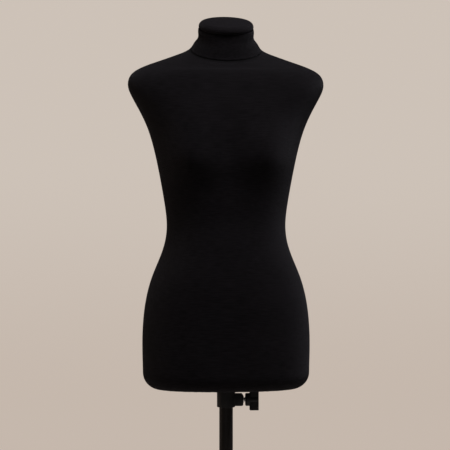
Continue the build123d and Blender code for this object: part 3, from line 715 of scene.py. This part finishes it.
def cap_rows():
    """The cap's outline carried round its axis: spigot, flat underside, small rounding below the
    rim, larger rounding above it, and a shallow dome that closes on the axis."""
    under = np.linspace(-math.pi / 2, 0, 8)
    over = np.linspace(0, math.pi / 2, 12)
    face = np.linspace(1, 0, 14)[1:]
    radius = np.concatenate([
        [0, CAP_SPIGOT_R - CAP_EDGE, CAP_SPIGOT_R, CAP_SPIGOT_R],
        CAP_R - CAP_UNDER + CAP_UNDER * np.cos(under),
        (CAP_R - CAP_OVER + CAP_OVER * np.cos(over))[1:],
        (CAP_R - CAP_OVER) * face,
    ])
    rise = CAP_UNDER + CAP_OVER
    height = np.concatenate([
        [-CAP_SPIGOT, -CAP_SPIGOT, -CAP_SPIGOT + CAP_EDGE, 0],
        CAP_UNDER + CAP_UNDER * np.sin(under),
        (CAP_UNDER + CAP_OVER * np.sin(over))[1:],
        rise + CAP_DOME * (1 - face**2),
    ])
    turn = np.linspace(0, 2 * math.pi, COLUMNS // 2, endpoint=False)[None, :]
    x, y = radius[:, None] * np.cos(turn), radius[:, None] * np.sin(turn)
    lean = math.radians(TORSO[-1, 6])
    z = height[:, None] + 0 * turn
    points = np.stack([
        x,
        TORSO[-1, 5] + y * math.cos(lean) - z * math.sin(lean),
        base_z / mm + TORSO[-1, 0] + y * math.sin(lean) + z * math.cos(lean),
    ], axis=-1)
    return points * mm


cap_points = cap_rows()
neck_cap = surface("neck_cap_jersey", cap_points)
cap_steps = np.linalg.norm(np.diff(cap_points[:, 0], axis=0), axis=1)
cap_run = np.concatenate([[0], np.cumsum(cap_steps)])
cloth_map(neck_cap, *cap_points.shape[:2], cap_run)
merged(neck_cap, sharp=60)
neck_cap.data.materials.append(black_jersey("black_jersey_cap", seams=()))
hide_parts("neck_cap")
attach(neck_cap, "torso")

# ------------------------------------------------------------------ studio
# A pale floor and a pale warm surround. A large soft key stands high in front, a weak fill lower
# down, and a warm light on the left and a cool one on the right graze the sides from behind.


def floor():
    """Pale round floor, faintly uneven in tone."""
    made, tree, shader = new_material("pale_floor", Roughness=0.7)
    cloud = noise(tree, coordinates(tree), 1.5, 4.0)
    colour = ramp(tree, cloud, 0.2, 0.8, (0.60, 0.55, 0.50), (0.66, 0.61, 0.56))
    tree.links.new(colour, shader.inputs["Base Color"])
    turn = np.linspace(0, 2 * math.pi, 96, endpoint=False)[None, :]
    radius = np.array([0.0, 1.5, 3.0])[:, None]
    points = np.stack([radius * np.cos(turn), radius * np.sin(turn), 0 * radius * turn], axis=-1)
    disc = merged(surface("floor", points))
    disc.data.materials.append(made)


def area_light(name, place, target, size, power, colour):
    """Square soft light that points at a target."""
    lamp = bpy.data.lights.new(name, "AREA")
    lamp.shape, lamp.size, lamp.energy, lamp.color = "SQUARE", size, power, colour
    holder = bpy.data.objects.new(name, lamp)
    bpy.context.scene.collection.objects.link(holder)
    way = np.array(target) - np.array(place)
    holder.location = place
    holder.rotation_euler = (
        math.atan2(math.hypot(way[0], way[1]), -way[2]), 0, math.atan2(way[1], way[0]) - math.pi / 2
    )


def surround():
    """Warm pale wall colour all round, a little darker below. It lights the scene much less than
    it shows."""
    world = bpy.data.worlds.new("surround")
    bpy.context.scene.world = world
    world.use_nodes = True
    tree = world.node_tree
    seen = node(tree, "LightPath").outputs["Is Camera Ray"]
    strength = remap(tree, seen, 0, 1, 0.03, 1.0)
    direction = node(tree, "TexCoord").outputs["Generated"]
    height = node(tree, "SeparateXYZ", Vector=direction).outputs[2]
    upward = remap(tree, height, -0.12, 0.05, 0.0, 1.0)
    wall = ramp(tree, upward, 0.0, 1.0, (0.560, 0.478, 0.415), (0.612, 0.540, 0.478))
    wall.node.color_ramp.interpolation = "EASE"
    shade = tree.nodes["Background"]
    tree.links.new(wall, shade.inputs["Color"])
    tree.links.new(strength, shade.inputs["Strength"])


floor()
surround()
chest = (0, 0, base_z + 0.45)
middle = (0, 0, base_z + 0.25)
area_light("key", (0.45, -1.15, 3.3), chest, 1.2, 72, (1.0, 0.97, 0.98))
area_light("fill", (-0.6, -3.2, 1.3), middle, 1.6, 3.0, (1.0, 0.97, 1.0))
area_light("left", (-2.3, 0.7, 1.2), middle, 1.2, 14, (1.0, 0.80, 0.66))
area_light("right", (2.2, 0.6, 1.6), middle, 1.2, 14, (0.90, 0.88, 1.0))

CAMERA_DISTANCE = 2.8
CAMERA_AZIMUTH = math.radians(-4)
CAMERA_SHIFT = -2 * mm
HORIZON = 0.305  # the camera's height above the torso's lower face
camera_data = bpy.data.cameras.new("camera")
camera_data.lens = 119.8
camera_data.sensor_width = 36
camera_data.clip_end = 50
camera = bpy.data.objects.new("camera", camera_data)
bpy.context.scene.collection.objects.link(camera)
camera.location = (
    math.sin(CAMERA_AZIMUTH) * CAMERA_DISTANCE + CAMERA_SHIFT,
    -math.cos(CAMERA_AZIMUTH) * CAMERA_DISTANCE,
    base_z + HORIZON,
)
camera.rotation_euler = (math.pi / 2, 0, CAMERA_AZIMUTH)
bpy.context.scene.camera = camera
bpy.context.scene.view_settings.view_transform = "Standard"
